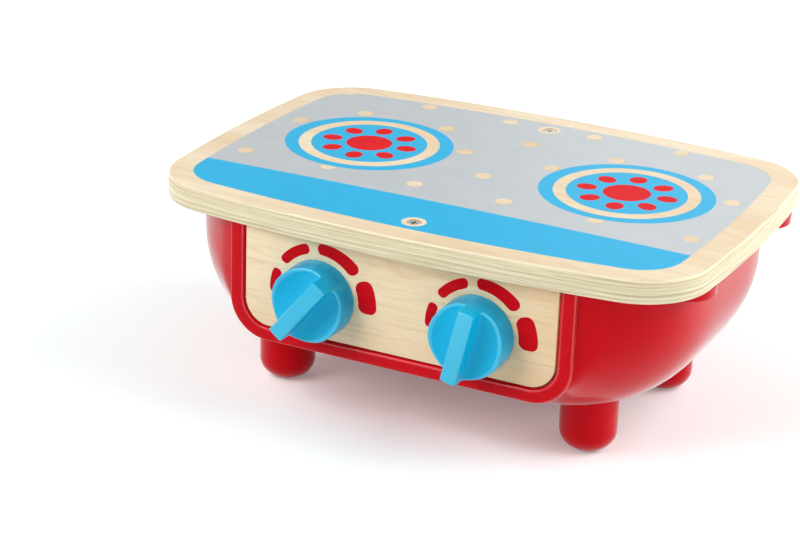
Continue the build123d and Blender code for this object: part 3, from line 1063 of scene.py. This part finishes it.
def makeScoop(bm, side):
    # skirt, rounded rim and dished face on one side of the grip
    wall, foot, steps = knob["gripWidth"] / 2, knob["footRounding"], knob["roundSteps"]
    rim = knob["rimRounding"]
    rings = [[(side * p.x, p.y, knob["gap"]) for p in rimSamples(knob["radius"])]]
    for s, c in quarter(steps):
        samples = rimSamples(knob["radius"] - rim * (1 - c))
        rings.append([(side * p.x, p.y, faceHeight(p.x) - rim * (1 - s)) for p in samples])
    rimEnds = [(ring[0], ring[-1]) for ring in rings[1:]]
    inner = rimSamples(knob["radius"] - rim)
    for i in range(1, knob["scoopSteps"] + 1):
        share = i / knob["scoopSteps"]
        rings.append([(side * min(p.x, p.x + (wall + foot - p.x) * share), p.y, 0) for p in inner])
    for s, c in quarter(steps, 1):
        u = wall + foot * (1 - s)
        rings.append([(side * min(p.x, u), p.y, 0) for p in inner])
    for ring in rings[-knob["scoopSteps"] - steps:]:
        for i, p in enumerate(ring):
            ring[i] = (p[0], p[1], faceHeight(abs(p[0])))
    # the rim's rounding takes the second material, the painted edge highlight
    skin(bm, [[Vector(p) for p in ring] for ring in rings], closed=False,
         highlightRings=range(2, steps + 3))
    # the grip's wall stands on the last ring
    top = knob["height"] - knob["gripRounding"]
    low = [first for first, last in rimEnds] + rings[-1][1:-1]
    low += [last for first, last in reversed(rimEnds)]
    upper = [(side * wall, low[-1][1], top), (side * wall, low[0][1], top)]
    return [Vector(p) for p in low + upper]


def gripOutline(inset, z):
    half, radius = knob["gripWidth"] / 2 - inset, knob["radius"] - inset
    ends = []
    for i in range(knob["endSteps"] + 1):
        u = -half + 2 * half * i / knob["endSteps"]
        ends.append(Vector((u, sqrt(radius ** 2 - u ** 2), z)))
    return ends + [Vector((-p.x, -p.y, z)) for p in ends]


def makeKnob(side):
    bm = bmesh.new()
    gap, rounding = knob["gap"], knob["gripRounding"]
    walls = [makeScoop(bm, s) for s in (-1, 1)]
    top = knob["height"] - rounding
    joint = faceHeight(knob["gripWidth"] / 2) - knob["rimRounding"]
    for s in (-1, 1):  # the grip's ends go straight down the skirt
        end = [s * p for p in gripOutline(0, 0)[:knob["endSteps"] + 1]]
        skin(bm, [[Vector((p.x, p.y, z)) for p in end] for z in (gap, joint, top)], closed=False)
    rings = [gripOutline(rounding * (1 - c), top + rounding * s)
             for s, c in quarter(knob["roundSteps"])]
    # the crown's rounded edge takes the painted edge highlight
    crown = skin(bm, rings, highlightRings=range(1, len(rings)))[-1]
    smoothFaces(bm)
    bmesh.ops.contextual_create(bm, geom=crown)
    for outline in walls:
        fillFlat(bm, drawLoop(bm, outline))
    bmesh.ops.remove_doubles(bm, verts=bm.verts, dist=knob["mergeDistance"])
    foot = [e for e in bm.edges if e.is_boundary and all(abs(v.co.z - gap) < tiny for v in e.verts)]
    for face in bmesh.ops.contextual_create(bm, geom=foot)["faces"]:
        face.smooth = False
    for v in bm.verts:  # draft
        shrink = 1 - knob["draft"] * (v.co.z - gap)
        v.co.x, v.co.y = v.co.x * shrink, v.co.y * shrink
    # local z is the knob's axis, which points to the front; local y runs along the grip
    centre = middleOf(side + "_washer")
    turn = radians(knob["turn"][side])
    xAxis = Vector((cos(turn), 0, -sin(turn)))
    zAxis = Vector((0, -1, 0))
    place = Matrix((xAxis, zAxis.cross(xAxis), zAxis)).transposed().to_4x4()
    place = Matrix.Translation((centre.x, panelLow[1], centre.z)) @ place
    bmesh.ops.transform(bm, matrix=place, verts=bm.verts)
    finishPiece(side + "Knob", bm, side + "_control", [side + "_knob"],
                [bluePlastic, blueEdgeHighlight], knob["sharp"])


for side in ("left", "right"):
    makeKnob(side)


# carried-over nodes
def dress(node, material):
    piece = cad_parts[node]
    if piece.material_slots:
        for slot in piece.material_slots:
            slot.material = material
    else:
        piece.data.materials.append(material)


dress("hob_screws", darkScrew)
for node in ("panel_screws", "lug_screws", "foot_screws", "click_arm_screws",
             "left_spindle_screw", "right_spindle_screw"):
    dress(node, zincScrew)
for side in ("left", "right"):
    dress(side + "_spindle", groundSteel)
    dress(side + "_washer", brass)
    for kind in ("_bush", "_click_wheel", "_click_arm"):
        dress(side + kind, whitePlastic)
print("frame nodes dressed")


# floor, light and camera
studio = dict(
    floorSize=5.0,
    floorColour=(0.8, 0.8, 0.8, 1.0),
    floorSeen=(0.91, 1.0, 1.0, 1.0),  # to the camera, cooled against the red body's glow
    floorRoughness=0.85,
    floorGlow=0.17,
    fade=(0.1, 1.0),  # how far out it turns into the white background
    grainNoise=((30, 30, 30), 2.0),
    grainAmount=0.02,
    grainColour=(0.6, 0.6, 0.6, 1.0),
    worldStrength=0.05,
    aim=(0, 0, 0.06),  # where the lamps point
    lamps=dict(  # power, width, height, place
        key=(28.0, 1.2, 1.2, (-0.9, -1.35, 1.35)),
        rim=(5.0, 1.6, 0.5, (-1.3, -0.2, 1.5)),
        back=(10.0, 2.4, 1.5, (0.35, 1.75, 0.85)),
        sideLow=(14.0, 1.6, 1.2, (1.7, 0.55, 0.75)),
        sideHigh=(21.0, 1.6, 1.2, (1.35, 0.45, 1.35)),
        left=(8.0, 1.2, 1.2, (-1.6, 0.9, 0.7)),
        fill=(6.5, 1.6, 1.0, (1.3, -1.7, 0.9)),
    ),
)


def makeFloor():
    bm = bmesh.new()
    bmesh.ops.create_grid(bm, x_segments=2, y_segments=2, size=studio["floorSize"])
    floor = addMesh("studioFloor", bm)
    material, tree, shader = newMaterial("floorPaper")
    path = tree.nodes.new("ShaderNodeLightPath")
    tone = blendColour(tree, path.outputs["Is Camera Ray"], studio["floorColour"],
                       studio["floorSeen"])
    grain = calc(tree, "MULTIPLY", noise(tree, *studio["grainNoise"]), studio["grainAmount"])
    plug(tree, shader.inputs["Base Color"], blendColour(tree, grain, tone, studio["grainColour"]))
    shader.inputs["Roughness"].default_value = studio["floorRoughness"]
    shader.inputs["Specular IOR Level"].default_value = 0.0
    shader.inputs["Emission Color"].default_value = white
    seen = calc(tree, "MAXIMUM", path.outputs["Is Camera Ray"], path.outputs["Is Glossy Ray"])
    reach = tree.nodes.new("ShaderNodeVectorMath")
    reach.operation = "LENGTH"
    tree.links.new(objectPoint(tree), reach.inputs[0])
    glow = stretch(tree, reach.outputs["Value"], *studio["fade"], studio["floorGlow"], 1.0)
    plug(tree, shader.inputs["Emission Strength"], calc(tree, "MULTIPLY", seen, glow))
    floor.data.materials.append(material)


def makeWorld():
    # white to the camera and in reflections, and almost no light of its own
    world = bpy.data.worlds.new("studioWorld")
    bpy.context.scene.world = world
    world.use_nodes = True
    tree = world.node_tree
    tree.nodes.clear()
    output = tree.nodes.new("ShaderNodeOutputWorld")
    background = tree.nodes.new("ShaderNodeBackground")
    background.inputs["Color"].default_value = white
    path = tree.nodes.new("ShaderNodeLightPath")
    seen = studio["worldStrength"]
    for ray in ("Is Camera Ray", "Is Glossy Ray", "Is Transmission Ray"):
        seen = calc(tree, "MAXIMUM", path.outputs[ray], seen)
    plug(tree, background.inputs["Strength"], seen)
    tree.links.new(background.outputs[0], output.inputs[0])


def makeLamp(name, power, width, height, place):
    data = bpy.data.lights.new(name, "AREA")
    data.shape = "RECTANGLE"
    data.energy = power
    data.size = width
    data.size_y = height
    lamp = addObject(name, data)
    lamp.location = place
    towards = Vector(studio["aim"]) - Vector(place)
    lamp.rotation_euler = towards.to_track_quat("-Z", "Y").to_euler()


makeFloor()
makeWorld()
for name, lamp in studio["lamps"].items():
    makeLamp(name + "Lamp", *lamp)

shot = dict(
    position=(0.4662, -0.9439, 0.4033),  # from the board's front edge and top face
    target=(0.02792, -0.04646, 0.0),
    roll=2.01,
    focalPixels=2335.07,
    imageWidth=800,
    sensorWidth=36.0,
)


def makeCamera():
    data = bpy.data.cameras.new("camera")
    data.sensor_width = shot["sensorWidth"]
    data.lens = shot["focalPixels"] / shot["imageWidth"] * data.sensor_width
    camera = addObject("camera", data)
    origin = Vector((0, boardLow[1], topZ))
    position = Vector(shot["position"]) + origin
    forward = (Vector(shot["target"]) + origin - position).normalized()
    level = forward.cross(Vector((0, 0, 1))).normalized()
    above = level.cross(forward)
    roll = radians(shot["roll"])
    right = cos(roll) * level + sin(roll) * above
    up = -sin(roll) * level + cos(roll) * above
    turn = Matrix((right, up, -forward)).transposed().to_4x4()
    camera.matrix_world = Matrix.Translation(position) @ turn
    bpy.context.scene.camera = camera


makeCamera()
bpy.context.scene.view_settings.view_transform = "Standard"
print("floor, lamps and camera placed")
